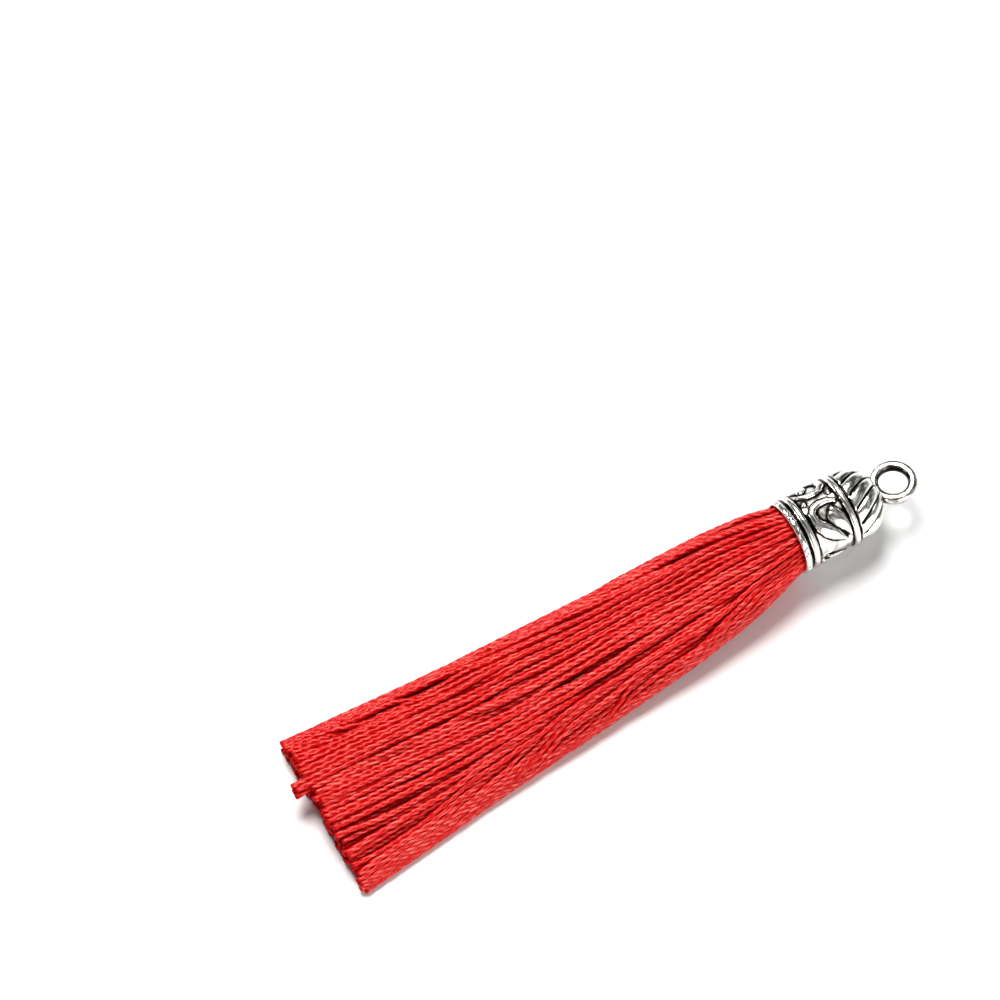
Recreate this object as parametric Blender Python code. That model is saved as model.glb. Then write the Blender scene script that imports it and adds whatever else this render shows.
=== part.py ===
"""A silk tassel lying on its side: a cast metal cap with a hanging loop, and a skirt of cut threads.

The row frame is in metres. +X runs along the tassel towards the loop, +Z is up and z = 0 is the surface
it lies on. While the shapes are made, x = 0 is the cap's mouth and lengths are in millimetres.
"""

import math
import random

import bmesh
import bpy
from mathutils import Matrix, Vector

MM = 0.001

SILVER = (0.62, 0.60, 0.56)
SILK_RED = (0.74, 0.03, 0.03)
CAP_SMOOTH_BELOW_DEG = 40.0
THREAD_SMOOTH_BELOW_DEG = 30.0

# Cap: turned slightly off the skirt's line and rolled about its own axis, as it lies.
CAP_TURN_DEG = -1.7
CAP_ROLL_DEG = 8.0
AXIS_HEIGHT = 4.616

# Cap body. Coarse rows have four points to each gadroon, and the band's rows twice as many. They start
# where one point of each row is lowest as the cap lies, so that it rests evenly on both sides of it.
GADROONS = 14
COARSE = 4 * GADROONS
FINE = 2 * COARSE
ROW_START_DEG = 1.57
ROPE_STEP = 0.045

MOUTH_RADIUS = 4.10
THROAT_RADIUS = 3.85
THROAT_DEPTH = 0.35
BORE_RADIUS = 3.72
BORE_FACE = 1.10
BORE_DEPTH = 7.0

# Rings and grooves between the mouth and the band, and between the band and the dome.
RING_COLUMNS = ("along", "radius", "rope")
RIM_ROWS = (
    (0.00, 4.38, 0.0),
    (0.18, 4.56, -1.0),
    (0.46, 4.60, 1.0),
    (0.74, 4.54, -1.0),
    (0.90, 4.22, 0.0),
    (1.14, 4.22, 0.0),
    (1.30, 4.48, 0.0),
    (1.58, 4.60, 0.0),
    (1.88, 4.48, 0.0),
    (2.04, 4.18, 0.0),
)
SHOULDER_ROWS = (
    (6.58, 4.18, 0.0),
    (6.70, 4.48, 0.0),
    (7.00, 4.60, 0.0),
    (7.30, 4.48, 0.0),
    (7.42, 4.18, 0.0),
)

# Band of raised scrolls. Its pattern is turned a little from the loop's normal.
BAND_START = 2.25
BAND_WIDTH = 4.15
BAND_RADIUS = 4.18
BAND_TURN_DEG = -8.0
BAND_STEPS = 12
SCROLL_HEIGHT = 0.36

# One hook, knob and leaf on a quarter of the band, with angles from the middle of its half.
STROKE_COLUMNS = ("angle_deg", "along", "half_width")
HOOK = (
    (17.0, 3.70, 0.24),
    (11.5, 2.95, 0.34),
    (10.5, 1.95, 0.38),
    (13.5, 1.10, 0.42),
    (22.0, 0.60, 0.44),
    (34.0, 0.62, 0.50),
    (46.0, 0.95, 0.72),
    (56.0, 1.50, 0.84),
    (66.0, 2.15, 0.74),
    (75.0, 2.75, 0.46),
    (83.0, 3.30, 0.16),
)
KNOB = ((29.0, 2.95, 0.46), (30.5, 3.05, 0.46))
LEAF = (
    (39.0, 2.75, 0.72),
    (48.0, 3.10, 0.78),
    (58.0, 3.42, 0.54),
    (68.0, 3.72, 0.28),
    (77.0, 3.92, 0.12),
)
PELLET = ((-1.0, 3.70, 0.27), (-0.9, 3.70, 0.27))

# Dome with twisted gadroons.
DOME_START = 7.76
DOME_END = 12.00
DOME_RADIUS = 4.30
DOME_TIP_RADIUS = 0.9
DOME_STEPS = 8
DOME_POWER = 2.3
DOME_TWIST_DEG = -32.0
GADROON_START_DEG = -11.2
GADROON_DEPTH = 0.28
GADROON_SHARPNESS = 2.0
GADROON_FADE = 1.2

# Hanging loop of rounded square wire, in one casting with the cap.
LOOP_CENTRE = 14.40
LOOP_RADIUS = 2.28
LOOP_HALF_WIDTH = 0.58
LOOP_HALF_HEIGHT = 0.62
LOOP_SQUARENESS = 3.2
LOOP_STEPS = 32
WIRE_STEPS = 12

# Head of the skirt: the gathered threads inside the bore, 0.3 mm clear of the metal.
HEAD_RADIUS = 3.39
HEAD_FACE = 1.00
HEAD_BACK = 6.65
HEAD_BEVEL = 0.50
HEAD_STEPS = 32

# Threads stand in upright columns, spread evenly from side to side, and offset by half a step in
# every other column while they are round. On the surface each column settles straight down.
HALF_COLUMNS = 13
COLUMN_ROWS = 7
CHORD_SHARE = 0.97
CHORD_ALLOWANCE = 0.06
CUT_JITTER = 0.45
CUT_SKEW = 0.025
SEED = 41

STATION_COLUMNS = ("along", "half_width", "height", "lift", "settled", "side", "across", "tall")
STATIONS = (
    (1.40, 3.22, 6.44, 1.43, 0.00, -0.04, 0.36, 0.36),
    (0.00, 3.60, 7.20, 1.05, 0.00, 0.00, 0.38, 0.38),
    (-3.0, 4.72, 7.60, 0.55, 0.05, -0.05, 0.38, 0.38),
    (-8.0, 5.80, 7.30, 0.00, 0.20, -0.10, 0.35, 0.35),
    (-16.0, 6.62, 6.40, 0.00, 0.50, -0.25, 0.42, 0.42),
    (-29.0, 7.42, 5.80, 0.00, 0.88, -0.35, 0.49, 0.46),
    (-45.0, 8.50, 5.05, 0.00, 1.00, -0.42, 0.56, 0.52),
    (-62.4, 10.25, 4.40, 0.00, 1.00, -0.50, 0.66, 0.48),
)


def clear_scene():
    for obj in list(bpy.data.objects):
        bpy.data.objects.remove(obj, do_unlink=True)


def material(name, colour, metallic, roughness):
    made = bpy.data.materials.new(name)
    made.use_nodes = True
    shader = made.node_tree.nodes["Principled BSDF"]
    shader.inputs["Base Color"].default_value = (*colour, 1.0)
    shader.inputs["Metallic"].default_value = metallic
    shader.inputs["Roughness"].default_value = roughness
    made.diffuse_color = (*colour, 1.0)
    return made


def object_from(name, mesh_in_mm):
    mesh = bpy.data.meshes.new(name)
    mesh_in_mm.to_mesh(mesh)
    mesh_in_mm.free()
    obj = bpy.data.objects.new(name, mesh)
    bpy.context.scene.collection.objects.link(obj)
    return obj


def fuse(obj, other):
    """Joins other to obj as one closed body."""
    modifier = obj.modifiers.new("join", "BOOLEAN")
    modifier.operation = "UNION"
    modifier.solver = "EXACT"
    modifier.object = other
    bpy.context.view_layer.update()
    graph = bpy.context.evaluated_depsgraph_get()
    joined = bpy.data.meshes.new_from_object(obj.evaluated_get(graph))
    obj.modifiers.clear()
    obj.data = joined
    joined.name = obj.name
    bpy.data.objects.remove(other, do_unlink=True)


def columns(names, rows):
    """The rows of a table as dicts."""
    return [dict(zip(names, row)) for row in rows]


def around(radius, along, angle):
    """The point at that angle round the cap's axis. 0 is up, and a quarter turn is the front side."""
    return Vector((along, -radius * math.sin(angle), radius * math.cos(angle)))


def stroke_height(stroke, angle, along):
    """How far a tapering round-backed stroke rises above the band at a point."""
    highest = 0.0
    here = Vector((angle * BAND_RADIUS, along))
    points = columns(STROKE_COLUMNS, stroke)
    for a, b in zip(points, points[1:]):
        start = Vector((math.radians(a["angle_deg"]) * BAND_RADIUS, a["along"]))
        step = Vector((math.radians(b["angle_deg"]) * BAND_RADIUS, b["along"])) - start
        share = min(1.0, max(0.0, (here - start).dot(step) / step.length_squared))
        width = a["half_width"] + (b["half_width"] - a["half_width"]) * share
        away = (here - start - step * share).length / width
        if away < 1.0:
            highest = max(highest, SCROLL_HEIGHT * math.sqrt(1.0 - away * away))
    return highest


def scroll_height(angle, along):
    """Each half of the band holds one motif and the same one turned half a turn, back to back."""
    highest = 0.0
    for centre in (0.0, math.pi):
        local = (angle - centre + math.pi) % (2.0 * math.pi) - math.pi
        for stroke in (HOOK, KNOB, LEAF, PELLET):
            highest = max(highest, stroke_height(stroke, local, along))
            highest = max(highest, stroke_height(stroke, -local, BAND_WIDTH - along))
    return highest


def ring_of(mesh, along, count, radius_at, start=0.0):
    angles = [start + 2.0 * math.pi * n / count for n in range(count)]
    return [mesh.verts.new(around(radius_at(angle), along, angle)) for angle in angles]


def stitch(mesh, a, b):
    """Faces between two rings, where one may have twice the points of the other."""
    if len(a) == len(b):
        for n in range(len(a)):
            after = (n + 1) % len(a)
            mesh.faces.new((a[n], a[after], b[after], b[n]))
        return
    few, many = (a, b) if len(a) < len(b) else (b, a)
    for n in range(len(few)):
        after = (n + 1) % len(few)
        first, middle, last = many[2 * n], many[2 * n + 1], many[(2 * n + 2) % len(many)]
        mesh.faces.new((few[n], first, middle))
        mesh.faces.new((few[n], middle, few[after]))
        mesh.faces.new((few[after], middle, last))


def close(mesh, ring, along):
    pole = mesh.verts.new((along, 0.0, 0.0))
    for n in range(len(ring)):
        mesh.faces.new((ring[n], ring[(n + 1) % len(ring)], pole))


def plain(radius):
    return lambda angle: radius


def roped(row):
    """A ring whose points step in and out in turn, like the slanted marks of a rope edge."""
    start = math.radians(ROW_START_DEG)
    step = ROPE_STEP * row["rope"]
    return lambda angle: row["radius"] + step * math.cos(0.5 * COARSE * (angle - start))


def scrolled(along):
    turn = math.radians(BAND_TURN_DEG)
    return lambda angle: BAND_RADIUS + scroll_height(angle - turn, along)


def gadrooned(share):
    """A ring of the dome, share of the way from its foot to its tip."""
    fall = (1.0 - share**DOME_POWER) ** (1.0 / DOME_POWER)
    radius = DOME_TIP_RADIUS + (DOME_RADIUS - DOME_TIP_RADIUS) * fall
    groove = math.radians(GADROON_START_DEG + DOME_TWIST_DEG * share)
    depth = GADROON_DEPTH * min(1.0, radius / DOME_RADIUS * GADROON_FADE)

    def radius_at(angle):
        lobe = abs(math.sin(0.5 * GADROONS * (angle - groove)))
        return radius - depth * (1.0 - lobe) ** GADROON_SHARPNESS

    return radius_at


def cap_body():
    mesh = bmesh.new()
    start = math.radians(ROW_START_DEG)
    inside = (
        (BORE_DEPTH, BORE_RADIUS),
        (BORE_FACE, BORE_RADIUS),
        (THROAT_DEPTH, THROAT_RADIUS),
        (0.0, MOUTH_RADIUS),
    )
    rings = [ring_of(mesh, along, COARSE, plain(radius), start) for along, radius in inside]
    for row in columns(RING_COLUMNS, RIM_ROWS):
        rings.append(ring_of(mesh, row["along"], COARSE, roped(row), start))
    for step in range(BAND_STEPS + 1):
        along = BAND_WIDTH * step / BAND_STEPS
        rings.append(ring_of(mesh, BAND_START + along, FINE, scrolled(along), start))
    for row in columns(RING_COLUMNS, SHOULDER_ROWS):
        rings.append(ring_of(mesh, row["along"], COARSE, roped(row), start))
    for step in range(DOME_STEPS):
        share = math.sin(0.5 * math.pi * step / DOME_STEPS)
        along = DOME_START + (DOME_END - DOME_START) * share
        turned = start + math.radians(DOME_TWIST_DEG) * share
        rings.append(ring_of(mesh, along, COARSE, gadrooned(share), turned))
    for a, b in zip(rings, rings[1:]):
        stitch(mesh, a, b)
    close(mesh, rings[0], BORE_DEPTH)
    close(mesh, rings[-1], DOME_END)
    bmesh.ops.recalc_face_normals(mesh, faces=mesh.faces)
    return object_from("cap", mesh)


def squared(value):
    """A sine or cosine bent so that the section it draws is a square with round corners."""
    return math.copysign(abs(value) ** (2.0 / LOOP_SQUARENESS), value)


def loop():
    mesh = bmesh.new()
    rings = []
    for n in range(LOOP_STEPS):
        turn = 2.0 * math.pi * n / LOOP_STEPS
        out = Vector((math.cos(turn), math.sin(turn), 0.0))
        rings.append([])
        for k in range(WIRE_STEPS):
            tilt = 2.0 * math.pi * (k + 0.5) / WIRE_STEPS
            reach = LOOP_RADIUS + LOOP_HALF_WIDTH * squared(math.cos(tilt))
            height = LOOP_HALF_HEIGHT * squared(math.sin(tilt))
            rings[-1].append(mesh.verts.new(Vector((LOOP_CENTRE, 0.0, height)) + out * reach))
    for n in range(LOOP_STEPS):
        stitch(mesh, rings[n], rings[(n + 1) % LOOP_STEPS])
    bmesh.ops.recalc_face_normals(mesh, faces=mesh.faces)
    return object_from("loop", mesh)


def cap():
    obj = cap_body()
    fuse(obj, loop())
    roll = Matrix.Rotation(math.radians(-CAP_ROLL_DEG), 4, "X")
    turn = Matrix.Rotation(math.radians(CAP_TURN_DEG), 4, "Z")
    obj.data.transform(turn @ roll)
    lowest = min(vertex.co.z for vertex in obj.data.vertices)
    obj.data.transform(Matrix.Translation((0.0, 0.0, -lowest)))
    return obj


def thread_places():
    """Where each thread stands in the round bundle: its column, its place in it, and both shares of the radius."""
    found = []
    for column in range(-HALF_COLUMNS, HALF_COLUMNS + 1):
        across = column / HALF_COLUMNS
        chord = math.sqrt(1.0 - (CHORD_SHARE * across) ** 2) + CHORD_ALLOWANCE
        offset = 0.5 * (column % 2)
        heights = [2.0 * (k + offset) / COLUMN_ROWS for k in range(-COLUMN_ROWS, COLUMN_ROWS + 1)]
        kept = [height for height in heights if abs(height) <= chord]
        for place, height in enumerate(kept):
            found.append({"place": place, "across": across, "height": height})
    return found


def thread_centre(thread, station, most):
    """A thread's centre at a station, between the round bundle and the settled columns."""
    room = station["height"] - station["tall"]
    low = station["lift"] + 0.5 * station["tall"]
    bundled = low + 0.5 * room * (1.0 + thread["height"])
    settled = low + room * thread["place"] / (most - 1)
    height = bundled + (settled - bundled) * station["settled"]
    side = station["side"] + thread["across"] * (station["half_width"] - 0.5 * station["across"])
    return Vector((station["along"], side, height))


def add_thread(mesh, thread, most, cut):
    rings = []
    for station in columns(STATION_COLUMNS, STATIONS):
        centre = thread_centre(thread, station, most)
        if station["along"] == STATIONS[-1][0]:
            centre.x += cut + CUT_SKEW * centre.y
        half = (0.5 * station["across"], 0.5 * station["tall"])
        corners = ((-1, -1), (1, -1), (1, 1), (-1, 1))
        rings.append(
            [mesh.verts.new(centre + Vector((0.0, half[0] * y, half[1] * z))) for y, z in corners]
        )
    for a, b in zip(rings, rings[1:]):
        stitch(mesh, a, b)
    mesh.faces.new(rings[0])
    mesh.faces.new(rings[-1])


def head():
    mesh = bmesh.new()
    inner = HEAD_RADIUS - HEAD_BEVEL
    rings = [
        ring_of(mesh, HEAD_FACE, HEAD_STEPS, plain(HEAD_RADIUS)),
        ring_of(mesh, HEAD_BACK - HEAD_BEVEL, HEAD_STEPS, plain(HEAD_RADIUS)),
        ring_of(mesh, HEAD_BACK, HEAD_STEPS, plain(inner)),
    ]
    for a, b in zip(rings, rings[1:]):
        stitch(mesh, a, b)
    mesh.faces.new(rings[0])
    mesh.faces.new(rings[-1])
    bmesh.ops.recalc_face_normals(mesh, faces=mesh.faces)
    obj = object_from("skirt", mesh)
    turn = Matrix.Rotation(math.radians(CAP_TURN_DEG), 4, "Z")
    obj.data.transform(Matrix.Translation((0.0, 0.0, AXIS_HEIGHT)) @ turn)
    return obj


def threads():
    mesh = bmesh.new()
    chance = random.Random(SEED)
    places = thread_places()
    most = 1 + max(thread["place"] for thread in places)
    for thread in places:
        add_thread(mesh, thread, most, chance.uniform(-CUT_JITTER, CUT_JITTER))
    bmesh.ops.recalc_face_normals(mesh, faces=mesh.faces)
    return object_from("threads", mesh)


def skirt():
    obj = head()
    fuse(obj, threads())
    return obj


def settle(objects):
    """Scales to metres and puts the origin at the bottom centre of the box round everything."""
    points = [vertex.co for obj in objects for vertex in obj.data.vertices]
    low = Vector(min(point[axis] for point in points) for axis in range(3))
    high = Vector(max(point[axis] for point in points) for axis in range(3))
    origin = Vector((0.5 * (low.x + high.x), 0.5 * (low.y + high.y), low.z))
    for obj in objects:
        obj.data.transform(Matrix.Scale(MM, 4) @ Matrix.Translation(-origin))


def finish(obj, look, smooth_below_deg):
    obj.data.materials.clear()
    obj.data.materials.append(look)
    obj.data.shade_smooth()
    obj.data.set_sharp_from_angle(angle=math.radians(smooth_below_deg))


clear_scene()
metal = material("antique_silver", SILVER, metallic=1.0, roughness=0.28)
silk = material("red_silk", SILK_RED, metallic=0.0, roughness=0.50)
made_cap = cap()
made_skirt = skirt()
settle([made_cap, made_skirt])
finish(made_cap, metal, CAP_SMOOTH_BELOW_DEG)
finish(made_skirt, silk, THREAD_SMOOTH_BELOW_DEG)
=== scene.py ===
import math

import bpy
import numpy as np
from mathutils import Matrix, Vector


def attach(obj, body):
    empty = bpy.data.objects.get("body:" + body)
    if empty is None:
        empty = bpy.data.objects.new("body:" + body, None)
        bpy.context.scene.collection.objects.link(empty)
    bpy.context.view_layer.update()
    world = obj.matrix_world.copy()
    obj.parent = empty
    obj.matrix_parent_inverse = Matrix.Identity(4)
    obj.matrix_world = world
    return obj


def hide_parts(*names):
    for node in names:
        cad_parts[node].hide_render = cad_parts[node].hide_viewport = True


# The looks of a silk tassel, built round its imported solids. The tables are in millimetres from the
# middle of the cap's mouth, with +X towards the loop and +Z up, and heights from the surface.
MM = 0.001

# Where the tassel lies
MOUTH = Vector((22.872, 0.50, 4.616))
CAP_TURN_DEG = -1.7
CAP_ROLL_DEG = 8.0

# Threads
HALF_COLUMNS = 15
COLUMN_ROWS = 8
CHORD_SHARE = 0.97
CHORD_ALLOWANCE = 0.06

STATION_COLUMNS = ("along", "half_width", "height", "lift", "settled", "side", "radius", "thinned")
STATIONS = (
    (1.60, 3.70, 7.20, 1.02, 0.00, -0.03, 0.250, 0.00),
    (0.00, 3.98, 7.90, 0.67, 0.00, 0.00, 0.262, 0.00),
    (-3.0, 4.82, 7.80, 0.42, 0.05, -0.05, 0.280, 0.00),
    (-8.0, 5.85, 7.35, 0.00, 0.20, -0.10, 0.292, 0.00),
    (-16.0, 6.66, 6.50, 0.00, 0.50, -0.25, 0.303, 0.00),
    (-29.0, 7.46, 5.88, 0.00, 0.88, -0.35, 0.318, 0.20),
    (-45.0, 8.55, 5.12, 0.00, 1.00, -0.42, 0.333, 0.80),
    (-62.8, 10.32, 4.46, 0.00, 1.00, -0.50, 0.345, 1.10),
)
PATH_START = 1.6
PATH_STEP = 0.8
PATH_END = -62.8
TABLE_STEP = 0.25
TABLE_BLUR = 5.0
ACROSS_BLUR = 0.93
# The front edge thins from this place across, over that reach, by up to that share of the height.
THIN_START = 0.40
THIN_REACH = 0.55
THIN_SHARE = 0.38

# How the top threads wander across the skirt, in half widths per millimetre towards the cap: near the
# cut end, in the middle, and near the cap, where the turn of the whole bundle takes over.
FLOW_COLUMNS = ("across", "end", "middle", "cap")
FLOW_PLACES = (-53.0, -30.0, -16.0)
FLOW = (
    (-1.00, 0.000, 0.000, 0.000),
    (-0.80, -0.004, 0.001, 0.000),
    (-0.60, -0.008, 0.002, 0.000),
    (-0.40, -0.020, 0.000, 0.000),
    (-0.20, -0.021, -0.006, 0.000),
    (0.05, -0.0135, -0.007, 0.000),
    (0.25, -0.009, -0.005, 0.000),
    (0.45, -0.004, 0.000, 0.000),
    (0.70, 0.003, 0.003, 0.000),
    (0.90, 0.001, 0.002, 0.000),
    (1.00, 0.000, 0.000, 0.000),
)
# The turn of the whole bundle near the cap, in radians per millimetre.
TURN_COLUMNS = ("along", "rate")
TURN = (
    (-18.0, 0.000),
    (-14.0, 0.006),
    (-10.0, 0.022),
    (-6.0, 0.040),
    (-3.0, 0.048),
    (0.0, 0.048),
    (1.6, 0.030),
)
# The front edge takes this share of the turn, rising to all of it at that place across.
TURN_LEAST = 0.25
TURN_FRONT = -0.15
# Threads lower than this share of the height don't wander, and the lowest go back a little.
FLOW_LOWEST = 0.35
FLOW_BACK = 0.2

# Grooves that part the skirt into locks: from one place to another, and how deep.
GROOVE_COLUMNS = ("start", "across_start", "end", "across_end", "depth")
GROOVES = (
    (-59.0, 0.12, -43.0, -0.04, 0.8),
    (-44.0, -0.03, -32.0, -0.19, 1.0),
    (-34.5, -0.16, -26.0, -0.32, 2.0),
    (-27.5, -0.28, -17.0, -0.25, 1.9),
    (-50.5, 0.16, -42.5, 0.12, 1.7),
    (-61.5, 0.28, -48.0, 0.20, 1.0),
    (-32.5, -0.51, -9.5, -0.46, 1.6),
    (-23.5, 0.04, -10.5, -0.07, 1.0),
    (-44.0, 0.38, -35.5, 0.32, 1.0),
    (-60.0, 0.69, -39.5, 0.76, 1.5),
    (-17.5, 0.80, -7.5, 0.56, 1.0),
    (-38.0, 0.83, -20.0, 0.97, 1.2),
    (-16.5, 0.33, -9.0, 0.20, 0.9),
    (-21.0, -0.70, -10.0, -0.77, 0.9),
    (-43.5, -0.73, -35.5, -0.80, 1.1),
    (-62.5, -0.69, -50.5, -0.72, 1.1),
    (-38.0, -0.90, -19.5, -0.91, 1.0),
    (-20.0, -0.83, -12.5, -0.82, 1.1),
    (-50.0, -0.44, -39.5, -0.58, 1.1),
    (-63.0, -0.03, -43.0, -0.46, 0.9),
    (-63.0, -0.27, -49.0, -0.49, 0.9),
)
GROOVE_REACH = 0.85
GROOVE_CORE = 0.42
GROOVE_OPENING = 0.13
GROOVE_TAPER = 3.0
GROOVE_SINK = 0.36
TOP_EVENNESS = 0.62

RELAX_ROUNDS = 34
RELAX_STEP = 0.55
FILL = 0.94
SIZE_SPREAD = 0.07
START_SPREAD = 0.03
SAG = 0.004
DRIFT = (0.060, 0.040)
DRIFT_WINDOW = 9
PATH_WINDOW = (1.0, 3.0, 5.0, 3.0, 1.0)
SEED = 17

PLIES = 3
PLY_PITCH = 3.8
FIBRE_TURN = 0.70
PITCH_SPREAD = 0.15
# The twist hurries and slackens: by how many radians, how often, and how far apart on two threads.
TWIST_WANDER = ((0.5, 0.55, 3.0), (0.3, 1.3, 5.0))
FINE_RING = 0.32
FINE_POINTS = 12
PLAIN_RING = 0.50
PLAIN_POINTS = 6
WAIST = 0.75
CREST = 1.14
PLY_ROUNDNESS = 0.9
CUT_ALONG = -62.2
CUT_JITTER = 0.30
CUT_SKEW = 0.045
STRAY_ACROSS = (0.25, 0.39)
STRAY_LENGTH = 1.7
# Threads nearer the top than this many radii, or further out than this, are finely made.
TOP_DEPTH = 2.2
EDGE_ACROSS = 0.88
STRAY_DEPTH = 1.6
TOP_PARTS = ("front_edge", "front", "middle", "back", "back_edge")


def spread(names, rows):
    """A table's columns as arrays, by name."""
    return dict(zip(names, np.array(rows, float).T))


def smooth_table(names, rows):
    """The table's columns, evenly spaced along the tassel and rounded off at its rows."""
    table = spread(names, rows)
    low, high = table["along"].min(), table["along"].max()
    along = np.arange(low - TABLE_BLUR, high + TABLE_BLUR, TABLE_STEP)
    window = np.hanning(int(TABLE_BLUR / TABLE_STEP) + 2)
    window /= window.sum()
    made = {"along": along}
    for name in names[1:]:
        order = np.argsort(table["along"])
        xs, ys = table["along"][order], table[name][order]
        values = np.interp(along, xs, ys)
        before = along < xs[0]
        after = along > xs[-1]
        values[before] = ys[0] + (along[before] - xs[0]) * (ys[1] - ys[0]) / (xs[1] - xs[0])
        values[after] = ys[-1] + (along[after] - xs[-1]) * (ys[-1] - ys[-2]) / (xs[-1] - xs[-2])
        made[name] = np.convolve(values, window, mode="same")
        edge = len(window)
        made[name][:edge], made[name][-edge:] = values[:edge], values[-edge:]
    return made


def at(table, along):
    return {name: np.interp(along, table["along"], table[name]) for name in table}


def flow(across, along):
    """The top threads' wander at places across the skirt, in half widths per millimetre."""
    table = spread(FLOW_COLUMNS, FLOW)
    values = [np.interp(across, table["across"], table[name]) for name in FLOW_COLUMNS[1:]]
    place = np.interp(along, FLOW_PLACES, range(len(FLOW_PLACES)))
    below = min(int(place), len(values) - 2)
    share = place - below
    return (1.0 - share) * values[below] + share * values[below + 1]


def turned(points, here, angle):
    """Places in a section of the skirt, turned about its middle, less so at the front."""
    middle = here["lift"] + 0.5 * here["height"]
    across = (points[:, 0] - here["side"]) / here["half_width"]
    height = (points[:, 1] - middle) / (0.5 * here["height"])
    share = np.clip((across + 1.0) / (TURN_FRONT + 1.0), 0.0, 1.0)
    angle = angle * (TURN_LEAST + (1.0 - TURN_LEAST) * share)
    made = np.empty_like(points)
    made[:, 0] = here["side"] + here["half_width"] * (across * np.cos(angle) + height * np.sin(angle))
    made[:, 1] = middle + 0.5 * here["height"] * (height * np.cos(angle) - across * np.sin(angle))
    return made


def chord_shares(points, here):
    """Places in a section as shares of its width and of its height there."""
    across = (points[:, 0] - here["side"]) / here["half_width"]
    low, high = surfaces(across, here)
    return np.stack([across, (points[:, 1] - low) / np.maximum(high - low, 1e-6)], 1)


def surfaces(across, here):
    """The lowest and highest a thread's centre may lie, at places across the skirt."""
    inside = np.clip(across, -1.0, 1.0)
    round_chord = np.sqrt(np.maximum(0.0, 1.0 - inside**2))
    mound = np.sqrt(np.maximum(0.0, 1.0 - ACROSS_BLUR * inside**2))
    settled = np.clip(here["settled"], 0.0, 1.0)
    top = (1.0 - settled) * (0.5 + 0.5 * round_chord) + settled * mound
    front = np.clip((-inside - THIN_START) / THIN_REACH, 0.0, 1.0)
    top = top * (1.0 - THIN_SHARE * here["thinned"] * front**2 * (3.0 - 2.0 * front))
    bottom = (1.0 - settled) * (0.5 - 0.5 * round_chord)
    low = here["lift"] + here["height"] * bottom + here["radius"]
    high = here["lift"] + here["height"] * top - here["radius"]
    return low, np.maximum(high, low + 0.02)


def packed_radius(here, count):
    """The radius at which that many threads fill the skirt's section."""
    across = np.linspace(-1.0, 1.0, 101)
    low, high = surfaces(across, here)
    area = (high - low + 2.0 * here["radius"]).mean() * 2.0 * here["half_width"]
    return math.sqrt(FILL * area / (math.pi * count))


def thread_places():
    found = []
    for column in range(-HALF_COLUMNS, HALF_COLUMNS + 1):
        across = column / HALF_COLUMNS
        chord = math.sqrt(1.0 - (CHORD_SHARE * across) ** 2) + CHORD_ALLOWANCE
        offset = 0.5 * (column % 2)
        heights = [2.0 * (k + offset) / COLUMN_ROWS for k in range(-COLUMN_ROWS, COLUMN_ROWS + 1)]
        found += [(across, height) for height in heights if abs(height) <= chord]
    return np.array(found)


def relax(points, here, radius):
    """Moves overlapping threads apart and keeps them between the skirt's surfaces."""
    want = radius[:, None] + radius[None]
    room = here["half_width"] - here["radius"]
    side = here["side"]
    for _ in range(RELAX_ROUNDS):
        gap = points[:, None] - points[None]
        away = np.hypot(gap[..., 0], gap[..., 1])
        np.fill_diagonal(away, 1e9)
        push = np.clip(want - away, 0.0, None) * 0.5
        move = (gap / np.maximum(away, 1e-6)[..., None] * push[..., None]).sum(1)
        points = points + RELAX_STEP * move
        points[:, 1] -= SAG
        points[:, 0] = np.clip(points[:, 0], side - room, side + room)
        low, high = surfaces((points[:, 0] - side) / here["half_width"], here)
        points[:, 1] = np.clip(points[:, 1], low, high)
    return points


def smooth_noise(chance, steps, count, window):
    """Wandering values for each thread, smooth along it."""
    weights = np.hanning(window + 2)
    noise = chance.normal(0.0, 1.0, (steps + len(weights), count, 2))
    made = sum(w * noise[k : k + steps] for k, w in enumerate(weights))
    return made / np.sqrt((weights**2).sum())


def open_grooves(along, paths):
    """Parts the top threads along the grooves and lets those in them sink."""
    moved = paths.copy()
    for k, x in enumerate(along):
        here = at(SMOOTH, x)
        side, half = here["side"], here["half_width"]
        place = moved[k, :, 0]
        low, high = surfaces((place - side) / half, here)
        upper = np.clip((moved[k, :, 1] - low) / np.maximum(high - low, 1e-6) * 2.0 - 0.6, 0.0, 1.0)
        depth = (high - moved[k, :, 1]) / here["radius"]
        lift = TOP_EVENNESS * np.clip(1.6 - depth, 0.0, 1.0)
        moved[k, :, 1] += lift * (high - moved[k, :, 1])
        across = np.zeros_like(place)
        down = np.zeros_like(place)
        for row in GROOVES:
            groove = dict(zip(GROOVE_COLUMNS, row))
            share = (x - groove["start"]) / (groove["end"] - groove["start"])
            if not 0.0 < share < 1.0:
                continue
            length = groove["end"] - groove["start"]
            ends = min(1.0, share * length / GROOVE_TAPER, (1.0 - share) * length / GROOVE_TAPER)
            strength = groove["depth"] * ends * ends * (3.0 - 2.0 * ends)
            middle = side + half * (
                groove["across_start"] + share * (groove["across_end"] - groove["across_start"])
            )
            away = place - middle
            lean = away / np.sqrt(away**2 + 0.02)
            across += GROOVE_OPENING * strength * lean * np.exp(-np.abs(away) / GROOVE_REACH)
            down += GROOVE_SINK * strength * np.exp(-((away / GROOVE_CORE) ** 2))
        moved[k, :, 0] += across * upper
        moved[k, :, 1] = np.maximum(moved[k, :, 1] - down * upper, low)
    return moved


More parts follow.
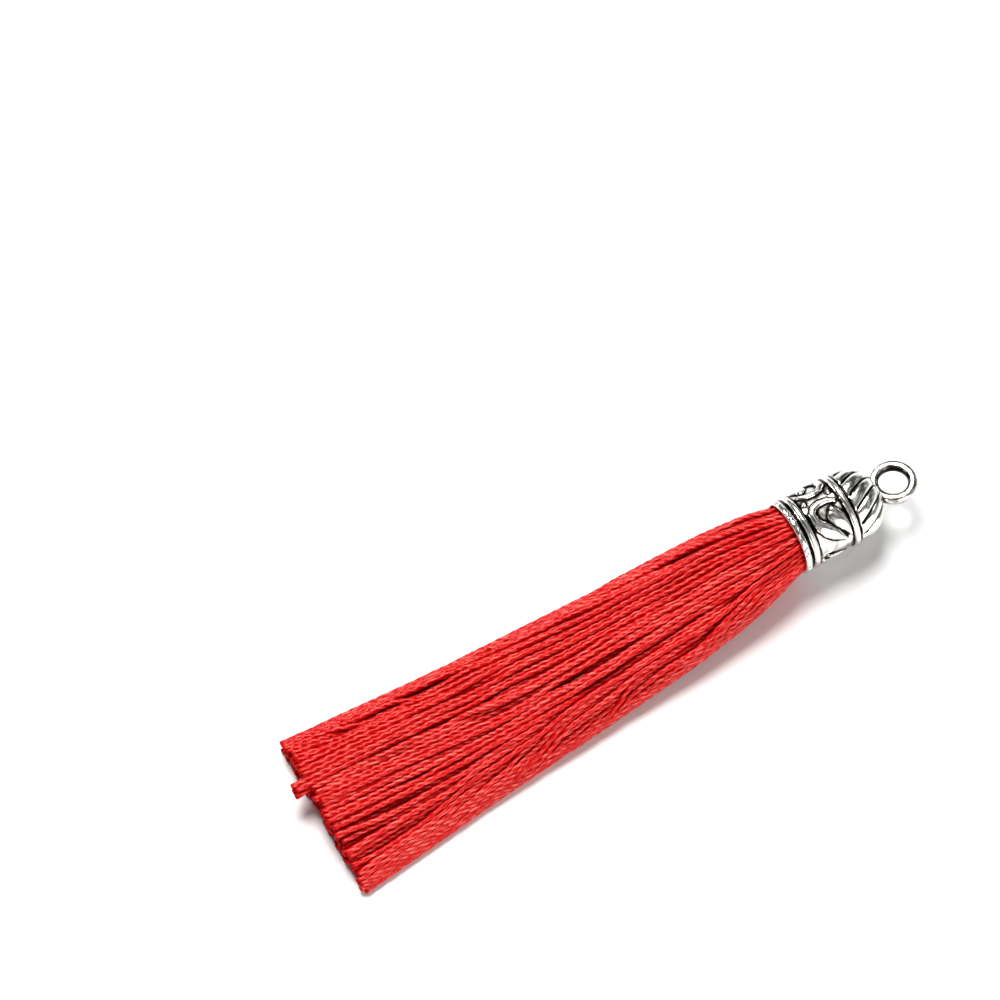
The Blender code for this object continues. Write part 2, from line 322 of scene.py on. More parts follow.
def thread_paths():
    """Centres of all threads at even steps along the skirt, packed as soft round threads pack."""
    chance = np.random.default_rng(SEED)
    places = thread_places()
    count = len(places)
    size = 1.0 + chance.uniform(-SIZE_SPREAD, SIZE_SPREAD, count)
    along = np.arange(PATH_START, PATH_END - PATH_STEP, -PATH_STEP)
    drift = smooth_noise(chance, len(along), count, DRIFT_WINDOW) * np.array(DRIFT)
    paths = np.zeros((len(along), count, 2))
    turn = spread(TURN_COLUMNS, TURN)
    before = None
    for k, x in enumerate(along):
        here = at(SMOOTH, x)
        radius = packed_radius(here, count) * size
        points = np.empty((count, 2))
        if before is None:
            points[:, 0] = here["side"] + places[:, 0] * (here["half_width"] - here["radius"])
            middle = here["lift"] + 0.5 * here["height"]
            points[:, 1] = middle + places[:, 1] * (0.5 * here["height"] - here["radius"])
            points += chance.normal(0.0, START_SPREAD, (count, 2))
        else:
            rate = np.interp(x, turn["along"], turn["rate"])
            shares = chord_shares(turned(paths[k - 1], before, rate * PATH_STEP), before)
            upper = np.clip((shares[:, 1] - FLOW_LOWEST) / (1.0 - FLOW_LOWEST) * 2.0, 0.0, 1.0)
            upper = upper * (1.0 + FLOW_BACK) - FLOW_BACK
            moved = shares[:, 0] - flow(shares[:, 0], x) * PATH_STEP * upper
            points[:, 0] = here["side"] + moved * here["half_width"]
            low, high = surfaces(moved, here)
            points[:, 1] = low + shares[:, 1] * (high - low)
            points += drift[k]
        points = relax(points, here, radius)
        paths[k] = points
        before = here
    paths = open_grooves(along, paths)
    window = np.array(PATH_WINDOW)
    window /= window.sum()
    half = len(window) // 2
    padded = np.concatenate([paths[:1]] * half + [paths] + [paths[-1:]] * half)
    smooth = sum(window[j] * padded[j : j + len(paths)] for j in range(len(window)))
    return along, smooth, size


def spline(xs, ys, at_xs):
    """Catmull-Rom through evenly spaced rows; xs falls along the skirt."""
    step = xs[1] - xs[0]
    place = np.clip((at_xs - xs[0]) / step, 0.0, len(xs) - 1.001)
    i = place.astype(int)
    t = (place - i)[:, None]
    p0, p1 = ys[np.maximum(i - 1, 0)], ys[i]
    p2, p3 = ys[np.minimum(i + 1, len(xs) - 1)], ys[np.minimum(i + 2, len(xs) - 1)]
    return 0.5 * (
        2.0 * p1 + (p2 - p0) * t + (2 * p0 - 5 * p1 + 4 * p2 - p3) * t**2
        + (3 * p1 - p0 - 3 * p2 + p3) * t**3
    )


def thread_tube(xs, path, packed, end, radius_scale, phase, pitch, ring_step, ring_points):
    """One thread: a tube whose section is its plies side by side, turning as it goes."""
    rings = int(abs(end - xs[0]) / ring_step) + 2
    along = np.linspace(xs[0], end, rings)
    place = spline(xs, path, along)
    centre = np.stack([along, place[:, 0], place[:, 1]], 1)
    forward = np.gradient(centre, axis=0)
    forward /= np.linalg.norm(forward, axis=1, keepdims=True)
    up = np.array([0.0, 0.0, 1.0]) - forward * forward[:, 2:3]
    up /= np.linalg.norm(up, axis=1, keepdims=True)
    left = np.cross(forward, up)
    run = np.concatenate([[0.0], np.cumsum(np.linalg.norm(np.diff(centre, axis=0), axis=1))])
    radius = np.interp(-along, -xs, packed) * radius_scale * CREST
    turn = 2.0 * np.pi * run / pitch + phase
    turn += sum(reach * np.sin(run * rate + phase * apart) for reach, rate, apart in TWIST_WANDER)
    local = np.arange(ring_points) * 2.0 * np.pi / ring_points
    crest = np.abs(np.cos(0.5 * PLIES * local))
    shape = WAIST + (1.0 - WAIST) * crest**PLY_ROUNDNESS
    angle = turn[:, None] + local[None]
    reach = radius[:, None] * shape[None]
    points = (
        centre[:, None]
        + up[:, None] * (np.cos(angle) * reach)[..., None]
        + left[:, None] * (np.sin(angle) * reach)[..., None]
    )
    ring = np.arange(rings - 1)[:, None] * ring_points
    k = np.arange(ring_points)[None]
    after = (k + 1) % ring_points
    quads = np.stack([ring + k, ring + ring_points + k, ring + ring_points + after, ring + after], -1)
    fibre = FIBRE_TURN * turn[:, None] + local[None]
    length = np.broadcast_to(run[:, None], angle.shape)
    return {
        "points": points.reshape(-1, 3),
        "quads": quads.reshape(-1, 4),
        "crest": np.broadcast_to(crest[None], angle.shape).reshape(-1),
        "run": length.reshape(-1),
        "round": np.stack([np.cos(fibre), np.sin(fibre), np.zeros_like(fibre)], -1).reshape(-1, 3),
        "cut": np.arange(ring_points) + (rings - 1) * ring_points,
    }


def row_frame(points):
    """From millimetres at the mouth to metres in the row frame."""
    return (points + np.array([MOUTH.x, MOUTH.y, 0.0])) * MM


def mesh_object(name, points, quads, caps=()):
    """A mesh from arrays: quads, and closing faces with any number of corners."""
    mesh = bpy.data.meshes.new(name)
    corners = np.concatenate([quads.reshape(-1)] + [np.asarray(c) for c in caps]).astype(np.int32)
    sizes = np.concatenate([np.full(len(quads), 4), [len(c) for c in caps]]).astype(np.int32)
    starts = np.concatenate([[0], np.cumsum(sizes)[:-1]]).astype(np.int32)
    mesh.vertices.add(len(points))
    mesh.vertices.foreach_set("co", np.ascontiguousarray(points, np.float32).ravel())
    mesh.loops.add(len(corners))
    mesh.loops.foreach_set("vertex_index", corners)
    mesh.polygons.add(len(sizes))
    mesh.polygons.foreach_set("loop_start", starts)
    mesh.polygons.foreach_set("loop_total", sizes)
    mesh.update(calc_edges=True)
    mesh.validate()
    mesh.shade_smooth()
    obj = bpy.data.objects.new(name, mesh)
    bpy.context.scene.collection.objects.link(obj)
    return obj


def set_attribute(obj, name, values):
    """Keeps a number or a vector for every point of a mesh."""
    flat = values.ndim == 1
    made = obj.data.attributes.new(name, "FLOAT" if flat else "FLOAT_VECTOR", "POINT")
    made.data.foreach_set("value" if flat else "vector", np.ascontiguousarray(values, np.float32).ravel())


def thread_piece(name, tubes):
    points, quads, caps = [], [], []
    values = {"crest": [], "run": [], "round": [], "tone": [], "cut_end": []}
    start = 0
    for tube in tubes:
        points.append(tube["points"])
        quads.append(tube["quads"] + start)
        middle = tube["points"][tube["cut"]].mean(0, keepdims=True)
        points.append(middle)
        last = tube["cut"] + start
        pole = start + len(tube["points"])
        after = np.roll(last, -1)
        caps += [(a, pole, b) for a, b in zip(last, after)]
        near = np.zeros(len(tube["points"]) + 1)
        near[tube["cut"]] = 0.6
        near[-1] = 1.0
        values["crest"].append(np.append(tube["crest"], 0.0))
        values["run"].append(np.append(tube["run"], tube["run"][-1]))
        values["round"].append(np.append(tube["round"], [[0.0, 0.0, 0.0]], 0))
        values["tone"].append(np.full(len(near), tube["tone"]))
        values["cut_end"].append(near)
        start += len(tube["points"]) + 1
    obj = mesh_object(name, row_frame(np.concatenate(points)), np.concatenate(quads), caps)
    for key in values:
        set_attribute(obj, key, np.concatenate(values[key]))
    return obj


def make_threads():
    along, paths, size = thread_paths()
    chance = np.random.default_rng(SEED + 1)
    count = paths.shape[1]
    tops = np.zeros(count)
    for k, x in enumerate(along):
        here = at(SMOOTH, x)
        across = (paths[k, :, 0] - here["side"]) / here["half_width"]
        low, high = surfaces(across, here)
        tops = np.maximum(tops, (paths[k, :, 1] > high - TOP_DEPTH * here["radius"]) * 1.0)
        tops = np.maximum(tops, (np.abs(across) > EDGE_ACROSS) * 1.0)
    here = at(SMOOTH, along[-1])
    across = (paths[-1, :, 0] - here["side"]) / here["half_width"]
    low, high = surfaces(across, here)
    stray = (across > STRAY_ACROSS[0]) & (across < STRAY_ACROSS[1])
    stray &= paths[-1, :, 1] > high - STRAY_DEPTH * here["radius"]
    packed = np.array([packed_radius(at(SMOOTH, x), count) for x in along])
    groups = {}
    for n in range(count):
        end = CUT_ALONG + chance.uniform(-CUT_JITTER, CUT_JITTER) + CUT_SKEW * paths[-1, n, 0]
        end -= STRAY_LENGTH * stray[n]
        fine = tops[n] > 0.5
        pitch = PLY_PITCH * (1.0 + PITCH_SPREAD * chance.uniform(-1.0, 1.0))
        tube = thread_tube(
            along, paths[:, n], packed, end, size[n], chance.uniform(0.0, 2.0 * np.pi), pitch,
            FINE_RING if fine else PLAIN_RING, FINE_POINTS if fine else PLAIN_POINTS,
        )
        tube["tone"] = chance.uniform(0.0, 1.0)
        if fine:
            part = TOP_PARTS[int(np.clip((across[n] + 1.0) * 0.5 * len(TOP_PARTS), 0, len(TOP_PARTS) - 1))]
        else:
            part = "inner_front" if across[n] < 0.0 else "inner_back"
        groups.setdefault(part, []).append(tube)
    return {part: thread_piece("threads_" + part, tubes) for part, tubes in sorted(groups.items())}


# Materials
class Nodes:
    """Short hand for a material's node tree."""

    def __init__(self, name):
        self.material = bpy.data.materials.new(name)
        self.material.use_nodes = True
        self.tree = self.material.node_tree
        self.shader = self.tree.nodes["Principled BSDF"]

    def add(self, kind, **settings):
        node = self.tree.nodes.new(kind)
        for key, value in settings.items():
            setattr(node, key, value)
        return node

    def link(self, a, b):
        self.tree.links.new(a, b)

    def attribute(self, name):
        return self.add("ShaderNodeAttribute", attribute_name=name).outputs["Fac"]

    def math(self, operation, a, b=None, c=None):
        node = self.add("ShaderNodeMath", operation=operation)
        for socket, value in zip(node.inputs, (a, b, c)):
            if value is None:
                continue
            if isinstance(value, (int, float)):
                socket.default_value = value
            else:
                self.link(value, socket)
        return node.outputs[0]

    def ramp(self, factor, stops):
        node = self.add("ShaderNodeValToRGB")
        node.color_ramp.elements.remove(node.color_ramp.elements[0])
        for n, (place, colour) in enumerate(stops):
            element = node.color_ramp.elements[0] if n == 0 else node.color_ramp.elements.new(place)
            element.position = place
            element.color = (*colour, 1.0)
        self.link(factor, node.inputs["Fac"])
        return node.outputs["Color"]

    def vector(self, x, y, z):
        node = self.add("ShaderNodeCombineXYZ")
        for socket, value in zip(node.inputs, (x, y, z)):
            if isinstance(value, (int, float)):
                socket.default_value = value
            else:
                self.link(value, socket)
        return node.outputs[0]

    def noise(self, vector, scale, detail=2.0, roughness=0.5):
        node = self.add("ShaderNodeTexNoise")
        node.inputs["Scale"].default_value = scale
        node.inputs["Detail"].default_value = detail
        node.inputs["Roughness"].default_value = roughness
        self.link(vector, node.inputs["Vector"])
        return node.outputs["Fac"]

    def bump(self, height, strength, distance, normal=None):
        node = self.add("ShaderNodeBump")
        node.inputs["Strength"].default_value = strength
        node.inputs["Distance"].default_value = distance
        self.link(height, node.inputs["Height"])
        if normal is not None:
            self.link(normal, node.inputs["Normal"])
        return node.outputs["Normal"]


# How much each pattern brightens the silk's colour: the crest term is painted shade between the plies and
# painted light on the ply crests, the fleck term is painted highlight flecks; fibre, tone and patch are the
# thread's own uneven colour.
SILK_PLY_PAINTED_SHADE = 0.50
SILK_FIBRE = 1.00
SILK_PAINTED_FLECKS = 0.85
SILK_TONE = 0.20
SILK_PATCH = 0.10
SILK_BASE = 0.88
SILK_CUT = 0.60
# Silk colours from dark to bright; the salmon top stop is a painted highlight colour, reached at the bright
# flecks.
SILK_COLOURS = (
    (0.12, (0.54, 0.0002, 0.0010)),
    (0.36, (0.54, 0.0009, 0.0026)),
    (0.56, (0.59, 0.0110, 0.0120)),
    (0.80, (0.87, 0.1350, 0.1150)),
)


def silk_material():
    """Lustrous red filament thread: fine fibres along the thread, painted shade between the plies and
    painted highlight flecks.
    """
    nodes = Nodes("silk_thread")
    shader = nodes.shader
    run, tone = nodes.attribute("run"), nodes.attribute("tone")
    cut = nodes.attribute("cut_end")
    around = nodes.add("ShaderNodeAttribute", attribute_name="round").outputs["Vector"]
    crest = nodes.math("POWER", nodes.attribute("crest"), 1.6)
    along = nodes.vector(0.0, nodes.math("MULTIPLY", tone, 91.0), run)

    def streaks(length, width, detail):
        """Noise drawn out along the thread: lengths in millimetres, widths in thread radii."""
        scaled = nodes.add("ShaderNodeVectorMath", operation="MULTIPLY_ADD")
        nodes.link(around, scaled.inputs[0])
        scaled.inputs[1].default_value = (1.0 / width, 1.0 / width, 0.0)
        moved = nodes.add("ShaderNodeVectorMath", operation="MULTIPLY")
        nodes.link(along, moved.inputs[0])
        moved.inputs[1].default_value = (0.0, 1.0, 1.0 / length)
        nodes.link(moved.outputs[0], scaled.inputs[2])
        return nodes.noise(scaled.outputs[0], 1.0, detail, 0.6)

    fleck = streaks(0.95, 0.85, 1.0)
    fibre = streaks(1.6, 0.52, 1.0)
    patch = nodes.noise(nodes.vector(nodes.math("MULTIPLY", run, 0.12), tone, 0.0), 3.0, 1.0)
    # Painted shade between the plies and painted light on the ply crests.
    shade = nodes.math("MULTIPLY", crest, SILK_PLY_PAINTED_SHADE)
    shade = nodes.math("ADD", shade, nodes.math("MULTIPLY", fibre, SILK_FIBRE))
    # Painted highlight flecks brighten the colour.
    shade = nodes.math("ADD", shade, nodes.math("MULTIPLY", fleck, SILK_PAINTED_FLECKS))
    shade = nodes.math("ADD", shade, nodes.math("MULTIPLY", tone, SILK_TONE))
    shade = nodes.math("ADD", shade, nodes.math("MULTIPLY", patch, SILK_PATCH))
    shade = nodes.math("SUBTRACT", shade, SILK_BASE)
    shade = nodes.math("SUBTRACT", shade, nodes.math("MULTIPLY", cut, SILK_CUT))
    nodes.link(nodes.ramp(shade, SILK_COLOURS), shader.inputs["Base Color"])
    rough = nodes.math("ADD", 0.25, nodes.math("MULTIPLY", fleck, 0.18))
    rough = nodes.math("ADD", rough, nodes.math("MULTIPLY", cut, 0.60))
    nodes.link(rough, shader.inputs["Roughness"])
    shader.inputs["Specular IOR Level"].default_value = 0.55
    shader.inputs["Specular Tint"].default_value = (1.0, 0.48, 0.44, 1.0)
    shader.inputs["Subsurface Weight"].default_value = 0.40
    shader.inputs["Subsurface Radius"].default_value = (1.0, 0.04, 0.04)
    shader.inputs["Subsurface Scale"].default_value = 0.0006
    relief = nodes.math("ADD", fibre, nodes.math("MULTIPLY", fleck, 1.2))
    relief = nodes.math("ADD", relief, nodes.math("MULTIPLY", crest, 0.4))
    nodes.link(nodes.bump(relief, 0.50, 0.00006), shader.inputs["Normal"])
    return nodes.material


# Cap
GADROONS = 14
ROPE_MARKS = 30
CAP_AROUND = 504
CAP_STEP = 0.085

SCROLL_COLUMNS = ("angle_deg", "along", "half_width")
HOOK = (
    (17.0, 3.70, 0.24),
    (11.5, 2.95, 0.34),
    (10.5, 1.95, 0.38),
    (13.5, 1.10, 0.42),
    (22.0, 0.60, 0.44),
    (34.0, 0.62, 0.50),
    (46.0, 0.95, 0.72),
    (56.0, 1.50, 0.84),
    (66.0, 2.15, 0.74),
    (75.0, 2.75, 0.46),
    (83.0, 3.30, 0.16),
)
KNOB = ((29.0, 2.95, 0.46), (30.5, 3.05, 0.46))
LEAF = (
    (39.0, 2.92, 0.90),
    (48.0, 3.28, 0.96),
    (58.0, 3.60, 0.74),
    (68.0, 3.84, 0.44),
    (77.0, 4.00, 0.20),
)
PELLET = ((-1.0, 3.70, 0.27), (-0.9, 3.70, 0.27))
BAND_START = 2.25
BAND_WIDTH = 4.15
BAND_RADIUS = 4.18
BAND_TURN_DEG = -8.0
SCROLL_HEIGHT = 0.36
# Where the second scroll stands, round from the first.
BACK_SCROLL_DEG = 187.0

# Places along the cap and radii there.
OUTER_PROFILE = (
    (0.00, 4.30),
    (0.05, 4.47),
    (0.18, 4.57),
    (0.44, 4.61),
    (0.70, 4.56),
    (0.84, 4.40),
    (0.92, 4.22),
    (1.14, 4.20),
    (1.22, 4.38),
    (1.36, 4.54),
    (1.60, 4.61),
    (1.84, 4.54),
    (1.98, 4.36),
    (2.06, 4.19),
    (2.16, 4.15),
    (2.30, 4.18),
    (6.40, 4.18),
    (6.54, 4.15),
    (6.64, 4.36),
    (6.76, 4.54),
    (7.00, 4.61),
    (7.24, 4.54),
    (7.36, 4.36),
    (7.44, 4.17),
    (7.60, 4.13),
    (7.76, 4.20),
)
INNER_PROFILE = (
    (3.00, 0.10),
    (3.00, 3.70),
    (0.60, 3.76),
    (0.22, 3.92),
    (0.04, 4.12),
)
INNER_STEP = 0.35
DOME_START = 7.76
DOME_END = 12.00
DOME_RADIUS = 4.32
DOME_TIP_RADIUS = 0.9
DOME_POWER = 2.3
DOME_TWIST_DEG = -32.0
GADROON_START_DEG = -11.2
GADROON_DEPTH = 0.36
GADROON_SHARPNESS = 1.8
GADROON_FOOT = 0.35
DOME_RINGS = 61
RIM_MIDDLE = 0.42
RIM_REACH = 0.45
RIM_ROPE = 0.09
RECESS_BLUR = (5, 9)
LOOP_CENTRE = 14.40
LOOP_RADIUS = 2.28
LOOP_HALF_WIDTH = 0.58
LOOP_HALF_HEIGHT = 0.62
LOOP_SQUARENESS = 2.5
LOOP_STEPS = 120
LOOP_WIRE_STEPS = 48
# The loop's colour level: its plain level, patina darker near its foot, and painted shade on the eye's
# inner wall.
LOOP_RECESS = -0.006
LOOP_PATINA_AND_SHADE = 0.12
LOOP_FOOT_END = 12.35
LOOP_FOOT_REACH = 0.7
LOOP_SHADED_WALL_START = 0.55
FLASH_HEIGHT = 0.09
FLASH_WIDTH = 0.08


def stroke_height(stroke, angle, along):
    """Rise of a tapering round-backed stroke, on arrays of places."""
    highest = np.zeros_like(angle)
    points = [dict(zip(SCROLL_COLUMNS, row)) for row in stroke]
    for a, b in zip(points, points[1:]):
        ax, ay = math.radians(a["angle_deg"]) * BAND_RADIUS, a["along"]
        bx, by = math.radians(b["angle_deg"]) * BAND_RADIUS, b["along"]
        px, py = angle * BAND_RADIUS - ax, along - ay
        dx, dy = bx - ax, by - ay
        share = np.clip((px * dx + py * dy) / (dx * dx + dy * dy), 0.0, 1.0)
        width = a["half_width"] + (b["half_width"] - a["half_width"]) * share
        away = np.hypot(px - dx * share, py - dy * share) / width
        highest = np.maximum(highest, SCROLL_HEIGHT * np.sqrt(np.clip(1.0 - away**2, 0.0, None)))
    return highest


def scroll_height(angle, along):
    highest = np.zeros_like(angle)
    for centre in (0.0, math.radians(BACK_SCROLL_DEG)):
        local = (angle - centre + math.pi) % (2.0 * math.pi) - math.pi
        for stroke in (HOOK, KNOB, LEAF, PELLET):
            highest = np.maximum(highest, stroke_height(stroke, local, along))
            highest = np.maximum(highest, stroke_height(stroke, -local, BAND_WIDTH - along))
    return highest


def cap_rows():
    """Where the cap's rings of points lie along it, and its plain radius there."""
    rows = []
    for profile in (INNER_PROFILE, OUTER_PROFILE):
        points = [np.array(p, float) for p in profile]
        for a, b in zip(points, points[1:]):
            step = INNER_STEP if profile is INNER_PROFILE else CAP_STEP
            steps = max(1, int(np.linalg.norm(b - a) / step))
            rows += [a + (b - a) * k / steps for k in range(steps)]
    for k in range(DOME_RINGS):
        share = math.sin(0.5 * math.pi * k / (DOME_RINGS - 0.5))
        fall = (1.0 - share**DOME_POWER) ** (1.0 / DOME_POWER)
        rows.append(np.array([
            DOME_START + (DOME_END - DOME_START) * share,
            DOME_TIP_RADIUS + (DOME_RADIUS - DOME_TIP_RADIUS) * fall,
        ]))
    return np.array(rows)


def blur(field, along_steps, around_steps):
    """Soft average of a field of rings, to tell crests from recesses."""
    for axis, steps in ((0, along_steps), (1, around_steps)):
        window = np.hanning(2 * steps + 3)
        window /= window.sum()
        half = len(window) // 2
        pad = [(0, 0), (0, 0)]
        pad[axis] = (half, half)
        padded = np.pad(field, pad, mode="edge" if axis == 0 else "wrap")
        field = sum(
            w * np.take(padded, np.arange(k, k + field.shape[axis]), axis=axis)
            for k, w in enumerate(window)
        )
    return field


def cap_frame(points):
    """From the cap's own axis to metres in the row frame."""
    roll, turn = math.radians(-CAP_ROLL_DEG), math.radians(CAP_TURN_DEG)
    x, y, z = points[..., 0], points[..., 1], points[..., 2]
    y, z = y * math.cos(roll) - z * math.sin(roll), y * math.sin(roll) + z * math.cos(roll)
    x, y = x * math.cos(turn) - y * math.sin(turn), x * math.sin(turn) + y * math.cos(turn)
    return (np.stack([x + MOUTH.x, y + MOUTH.y, z + MOUTH.z], -1)) * MM


def make_cap():
    rows = cap_rows()
    angle = np.arange(CAP_AROUND) * 2.0 * math.pi / CAP_AROUND
    along = np.repeat(rows[:, :1], CAP_AROUND, 1)
    radius = np.repeat(rows[:, 1:], CAP_AROUND, 1)
    angles = np.repeat(angle[None], len(rows), 0)
    inner = int(np.argmin(rows[:, 0]))
    outside = np.arange(len(rows))[:, None] >= inner
    band = (along > BAND_START) & (along < BAND_START + BAND_WIDTH) & outside
    raised = scroll_height(angles - math.radians(BAND_TURN_DEG), along - BAND_START)
    radius = radius + np.where(band, raised, 0.0)
    rim = np.clip(1.0 - np.abs(along - RIM_MIDDLE) / RIM_REACH, 0.0, 1.0) * outside
    rope = np.cos(ROPE_MARKS * angles + 7.0 * along + 1.6 * np.sin(5.0 * angles))
    rope = rope * (0.6 + 0.4 * np.sin(11.0 * angles + 2.0))
    radius = radius + rim * RIM_ROPE * rope
    dome = (along >= DOME_START) & outside
    share = np.clip((along - DOME_START) / (DOME_END - DOME_START), 0.0, 1.0)
    groove = np.radians(GADROON_START_DEG + DOME_TWIST_DEG * share)
    lobe = np.abs(np.sin(0.5 * GADROONS * (angles - groove)))
    depth = GADROON_DEPTH * np.minimum(1.0, radius / DOME_RADIUS * 1.2)
    foot = np.clip((along - DOME_START) / GADROON_FOOT, 0.0, 1.0)
    flute = depth * (1.0 - lobe) ** GADROON_SHARPNESS * (0.5 + 0.5 * foot)
    radius = radius - np.where(dome, flute, 0.0)
    recess_and_shade = radius - blur(radius, *RECESS_BLUR)
    for middle in (0.5 * math.pi, 1.5 * math.pi):
        away = (angles - middle) * BAND_RADIUS
        broken = 0.6 + 0.4 * np.sin(5.3 * along + 2.0 * middle) * np.sin(2.1 * along)
        flash = FLASH_HEIGHT * broken * np.exp(-((away / FLASH_WIDTH) ** 2))
        radius = radius + np.where(outside, flash, 0.0)
    points = np.stack([along, -radius * np.sin(angles), radius * np.cos(angles)], -1)
    pole = np.array([[DOME_END, 0.0, 0.0]])
    flat = np.concatenate([points.reshape(-1, 3), pole])
    i = np.arange(len(rows) - 1)[:, None] * CAP_AROUND
    k = np.arange(CAP_AROUND)[None]
    after = (k + 1) % CAP_AROUND
    quads = np.stack([i + k, i + after, i + CAP_AROUND + after, i + CAP_AROUND + k], -1).reshape(-1, 4)
    last = (len(rows) - 1) * CAP_AROUND
    top = len(rows) * CAP_AROUND
    caps = [(last + a, last + (a + 1) % CAP_AROUND, top) for a in range(CAP_AROUND)]
    obj = mesh_object("cap_casting", cap_frame(flat), quads, caps)
    set_attribute(obj, "recess_and_shade", np.append(recess_and_shade.reshape(-1), 0.0))
    return obj


def make_loop():
    steps = LOOP_STEPS
    wire = LOOP_WIRE_STEPS
    turn = np.arange(steps) * 2.0 * math.pi / steps
    tilt = np.arange(wire) * 2.0 * math.pi / wire
    bent = [np.sign(v) * np.abs(v) ** (2.0 / LOOP_SQUARENESS) for v in (np.cos(tilt), np.sin(tilt))]
    reach = LOOP_RADIUS + LOOP_HALF_WIDTH * bent[0][None]
    points = np.stack([
        LOOP_CENTRE + np.cos(turn)[:, None] * reach,
        np.sin(turn)[:, None] * reach,
        np.repeat((LOOP_HALF_HEIGHT * bent[1])[None], steps, 0),
    ], -1)
    i, k = np.meshgrid(np.arange(steps), np.arange(wire), indexing="ij")
    j, m = (i + 1) % steps, (k + 1) % wire
    quads = np.stack([i * wire + k, j * wire + k, j * wire + m, i * wire + m], -1).reshape(-1, 4)
    obj = mesh_object("cap_loop", cap_frame(points.reshape(-1, 3)), quads)
    near = np.clip((LOOP_FOOT_END - points[..., 0]) / LOOP_FOOT_REACH, 0.0, 1.0)
    # Painted shade on the eye's inner wall; the darkening near the foot is patina.
    painted_wall_shade = np.clip(-bent[0][None] - LOOP_SHADED_WALL_START, 0.0, 1.0 - LOOP_SHADED_WALL_START) * np.ones_like(near)
    set_attribute(obj, "recess_and_shade", (LOOP_RECESS - LOOP_PATINA_AND_SHADE * near - LOOP_PATINA_AND_SHADE * painted_wall_shade).reshape(-1))
    return obj


# How far recesses and cloudiness tell in the silver (on the loop the recess value also carries painted
# shade on the eye's inner wall), its plain level, and its colours from black to bright.
SILVER_RECESS = 9.5
SILVER_CLOUD = 0.7
SILVER_LEVEL = 0.65
SILVER_COLOURS = (
    (0.10, (0.008, 0.007, 0.006)),
    (0.34, (0.060, 0.052, 0.044)),
    (0.50, (0.40, 0.375, 0.335)),
    (0.66, (0.86, 0.85, 0.82)),
)


def silver_material():
    """Antique silver plating: bright where it is rubbed, black patina in the recesses, and on the loop
    painted shade on the eye's inner wall.
    """
    nodes = Nodes("antique_silver_casting")
    shader = nodes.shader
    where = nodes.add("ShaderNodeTexCoord").outputs["Object"]
    recess_and_shade = nodes.attribute("recess_and_shade")
    grain = nodes.noise(where, 2600.0, 3.0, 0.6)
    cloud = nodes.noise(where, 900.0, 2.0, 0.5)
    uneven = nodes.math("MULTIPLY", nodes.math("SUBTRACT", cloud, 0.5), SILVER_CLOUD)
    level = nodes.math("ADD", nodes.math("MULTIPLY", recess_and_shade, SILVER_RECESS), uneven)
    level = nodes.math("ADD", level, SILVER_LEVEL)
    nodes.link(nodes.ramp(level, SILVER_COLOURS), shader.inputs["Base Color"])
    shader.inputs["Metallic"].default_value = 1.0
    rough = nodes.math("ADD", 0.16, nodes.math("MULTIPLY", grain, 0.16))
    nodes.link(rough, shader.inputs["Roughness"])
    bumped = nodes.bump(cloud, 0.5, 0.00012)
    nodes.link(nodes.bump(grain, 0.18, 0.00003, bumped), shader.inputs["Normal"])
    return nodes.material


# Stage
CAMERA_AZIMUTH = -31.3
CAMERA_ELEVATION = 65.0
CAMERA_DISTANCE = 500.0
CAMERA_TARGET = (-1.6, 23.6, 0.0)
PIXELS_PER_MM = 8.58
PICTURE_PIXELS = 1000.0
SENSOR = 36.0
FLOOR_HALF = 0.9
WORLD_STRENGTH = 0.60
# Lights by name: azimuth and elevation in degrees, distance and size in metres, power in watts.
LIGHTS = {
    "key": (170.0, 60.0, 1.0, 0.56, 11.8),
    "fill": (6.0, 16.0, 1.2, 1.1, 10.0),
}


def direction(azimuth, elevation):
    """From the object towards a viewer at that azimuth and elevation, in degrees."""
    a, e = math.radians(azimuth), math.radians(elevation)
    return Vector((math.sin(a) * math.cos(e), -math.cos(a) * math.cos(e), math.sin(e)))


def make_camera():
    camera = bpy.data.objects.new("camera", bpy.data.cameras.new("camera"))
    bpy.context.scene.collection.objects.link(camera)
    back = direction(CAMERA_AZIMUTH, CAMERA_ELEVATION)
    camera.location = (Vector(CAMERA_TARGET) + back * CAMERA_DISTANCE) * MM
    camera.rotation_mode = "QUATERNION"
    camera.rotation_quaternion = (-back).to_track_quat("-Z", "Y")
    camera.data.sensor_width = SENSOR
    camera.data.lens = SENSOR * CAMERA_DISTANCE * PIXELS_PER_MM / PICTURE_PIXELS
    camera.data.clip_start = 0.01
    camera.data.clip_end = 20.0
    bpy.context.scene.camera = camera


def make_floor():
    half = FLOOR_HALF
    corners = np.array([(-half, -half, 0.0), (half, -half, 0.0), (half, half, 0.0), (-half, half, 0.0)])
    floor = mesh_object("floor", corners, np.array([[0, 1, 2, 3]]))
    nodes = Nodes("white_table")
    nodes.shader.inputs["Base Color"].default_value = (0.86, 0.86, 0.86, 1.0)
    nodes.shader.inputs["Roughness"].default_value = 0.6
    floor.data.materials.append(nodes.material)


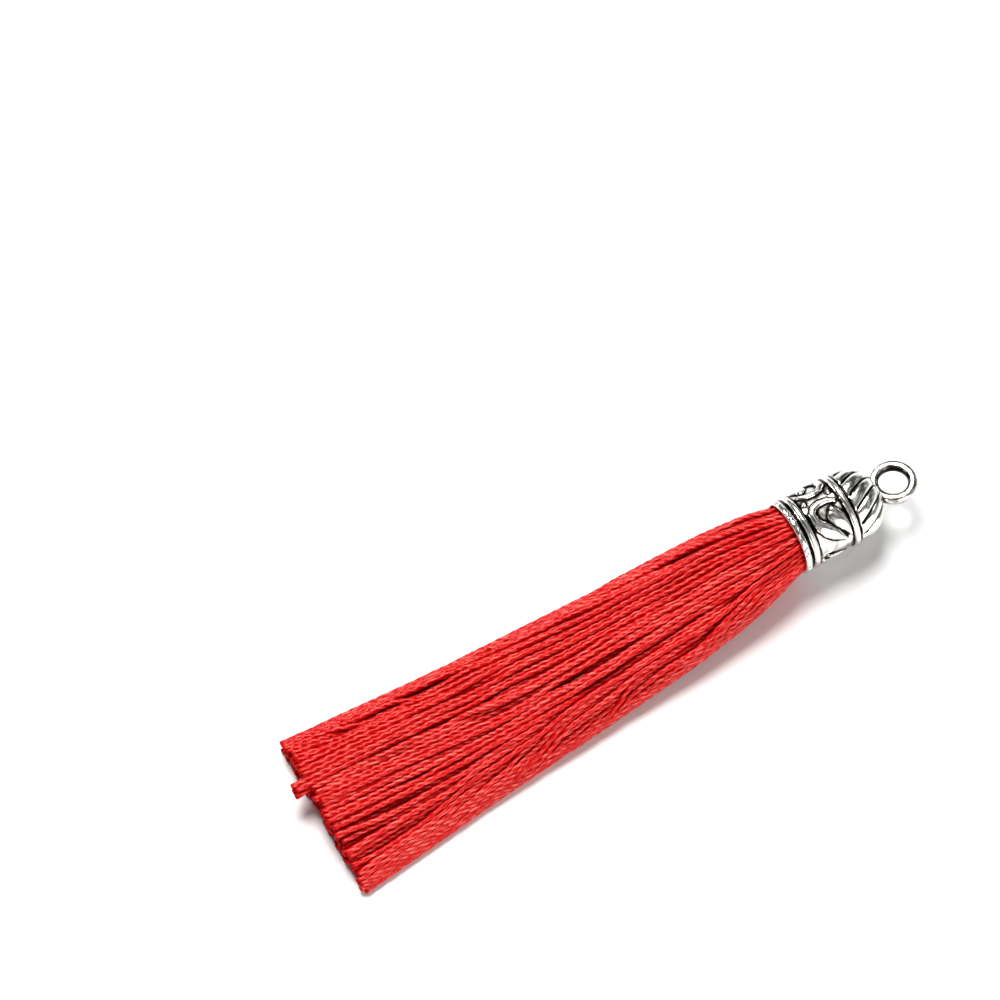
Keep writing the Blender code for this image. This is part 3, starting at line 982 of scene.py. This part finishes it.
def area_light(name, azimuth, elevation, distance, size, power):
    light = bpy.data.objects.new(name, bpy.data.lights.new(name, "AREA"))
    bpy.context.scene.collection.objects.link(light)
    toward = direction(azimuth, elevation)
    light.location = toward * distance
    light.rotation_mode = "QUATERNION"
    light.rotation_quaternion = (-toward).to_track_quat("-Z", "Y")
    light.data.shape = "DISK"
    light.data.size = size
    light.data.energy = power


def make_lights():
    world = bpy.data.worlds.new("studio")
    bpy.context.scene.world = world
    world.use_nodes = True
    tree = world.node_tree
    background = tree.nodes["Background"]
    place = tree.nodes.new("ShaderNodeTexCoord").outputs["Generated"]
    clouds = tree.nodes.new("ShaderNodeTexNoise")
    clouds.inputs["Scale"].default_value = 2.6
    clouds.inputs["Detail"].default_value = 1.0
    tree.links.new(place, clouds.inputs["Vector"])
    ramp = tree.nodes.new("ShaderNodeValToRGB")
    ramp.color_ramp.elements[0].position = 0.51
    ramp.color_ramp.elements[0].color = (0.02, 0.02, 0.02, 1.0)
    ramp.color_ramp.elements[1].position = 0.60
    ramp.color_ramp.elements[1].color = (1.0, 0.99, 0.97, 1.0)
    tree.links.new(clouds.outputs["Fac"], ramp.inputs["Fac"])
    tree.links.new(ramp.outputs["Color"], background.inputs["Color"])
    background.inputs["Strength"].default_value = WORLD_STRENGTH
    for name, values in LIGHTS.items():
        area_light(name, *values)


# Build
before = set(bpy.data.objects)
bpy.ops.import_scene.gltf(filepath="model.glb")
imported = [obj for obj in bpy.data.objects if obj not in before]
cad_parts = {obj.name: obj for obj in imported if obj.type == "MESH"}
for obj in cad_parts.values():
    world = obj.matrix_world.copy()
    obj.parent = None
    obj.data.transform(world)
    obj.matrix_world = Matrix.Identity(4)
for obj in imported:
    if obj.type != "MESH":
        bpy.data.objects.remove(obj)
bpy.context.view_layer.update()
SMOOTH = smooth_table(STATION_COLUMNS, STATIONS)

silk = silk_material()
threads = make_threads()
for part, piece in threads.items():
    piece.data.materials.append(silk)
    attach(piece, "root")
    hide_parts("skirt")

silver = silver_material()
casting = make_cap()
loop = make_loop()
for piece in (casting, loop):
    piece.data.materials.append(silver)
    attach(piece, "root")
    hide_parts("cap")

make_floor()
make_lights()
make_camera()
bpy.context.scene.view_settings.view_transform = "Standard"
bpy.context.scene.view_settings.look = "Medium High Contrast"
